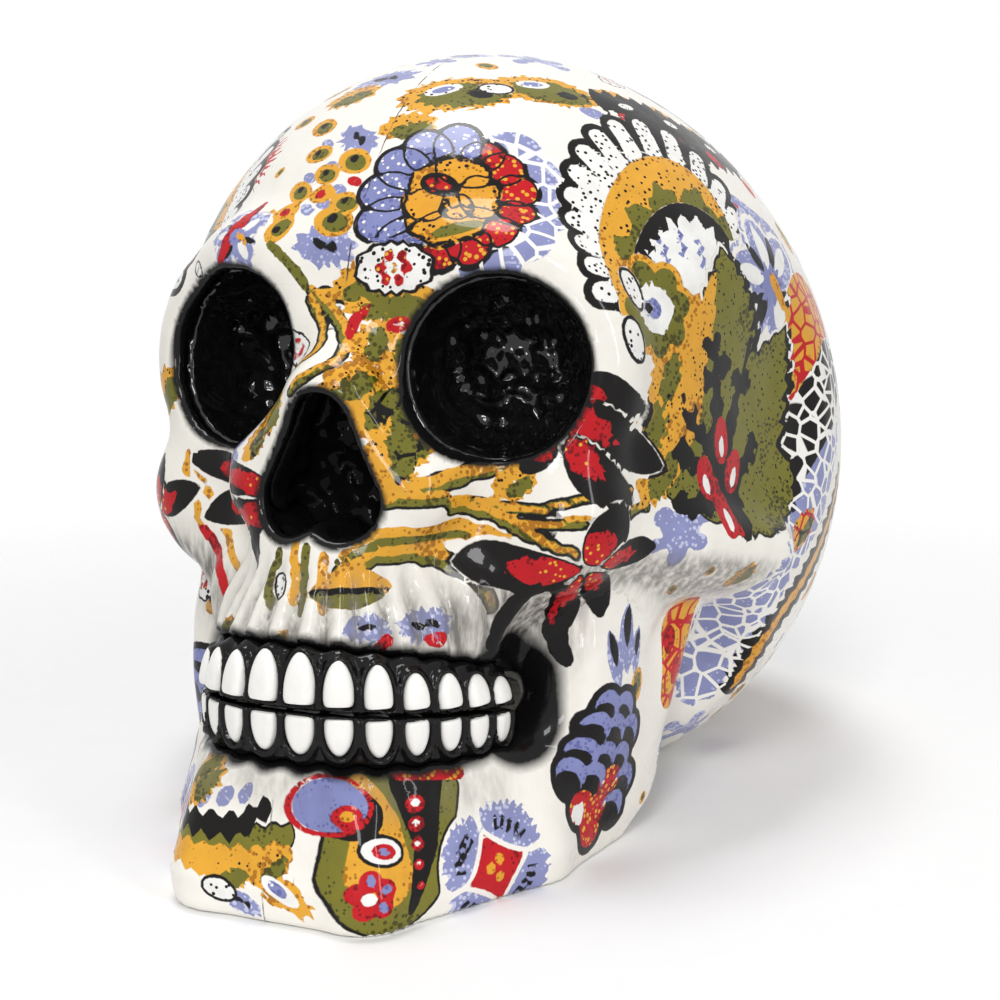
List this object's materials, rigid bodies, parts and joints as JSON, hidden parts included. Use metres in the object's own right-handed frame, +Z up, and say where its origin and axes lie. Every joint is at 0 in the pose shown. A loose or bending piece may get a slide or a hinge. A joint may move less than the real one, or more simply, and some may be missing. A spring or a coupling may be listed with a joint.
{
  "type": "sugar skull ornament",
  "caption": "Glossy cast skull ornament with a folk flower print, black eye sockets, nose and gums, set white teeth and a closed fixed jaw.",
  "frame": {"origin": "on the floor plane, under the middle of the skull's length and width", "axes": "+Z up, the face looks along -Y, +X is the skull's own left"},
  "size_m": [0.1108, 0.1493, 0.1184],
  "materials": {
    "printed_resin": "white cast resin with a multicolour folk flower film under clear gloss lacquer",
    "black_enamel": "gloss black paint",
    "tooth_white": "satin white paint"
  },
  "bodies": {
    "root": {"cranium": "printed_resin", "jaw": "printed_resin", "left_eye_socket": "black_enamel", "right_eye_socket": "black_enamel", "nasal_cavity": "black_enamel", "upper_gum": "black_enamel", "lower_gum": "black_enamel", "upper_left_tooth_1": "tooth_white", "upper_left_tooth_2": "tooth_white", "upper_left_tooth_3": "tooth_white", "upper_left_tooth_4": "tooth_white", "upper_left_tooth_5": "tooth_white", "upper_left_tooth_6": "tooth_white", "upper_left_tooth_7": "tooth_white", "upper_right_tooth_1": "tooth_white", "upper_right_tooth_2": "tooth_white", "upper_right_tooth_3": "tooth_white", "upper_right_tooth_4": "tooth_white", "upper_right_tooth_5": "tooth_white", "upper_right_tooth_6": "tooth_white", "upper_right_tooth_7": "tooth_white", "lower_left_tooth_1": "tooth_white", "lower_left_tooth_2": "tooth_white", "lower_left_tooth_3": "tooth_white", "lower_left_tooth_4": "tooth_white", "lower_left_tooth_5": "tooth_white", "lower_left_tooth_6": "tooth_white", "lower_left_tooth_7": "tooth_white", "lower_right_tooth_1": "tooth_white", "lower_right_tooth_2": "tooth_white", "lower_right_tooth_3": "tooth_white", "lower_right_tooth_4": "tooth_white", "lower_right_tooth_5": "tooth_white", "lower_right_tooth_6": "tooth_white", "lower_right_tooth_7": "tooth_white"}
  },
  "joints": []
}
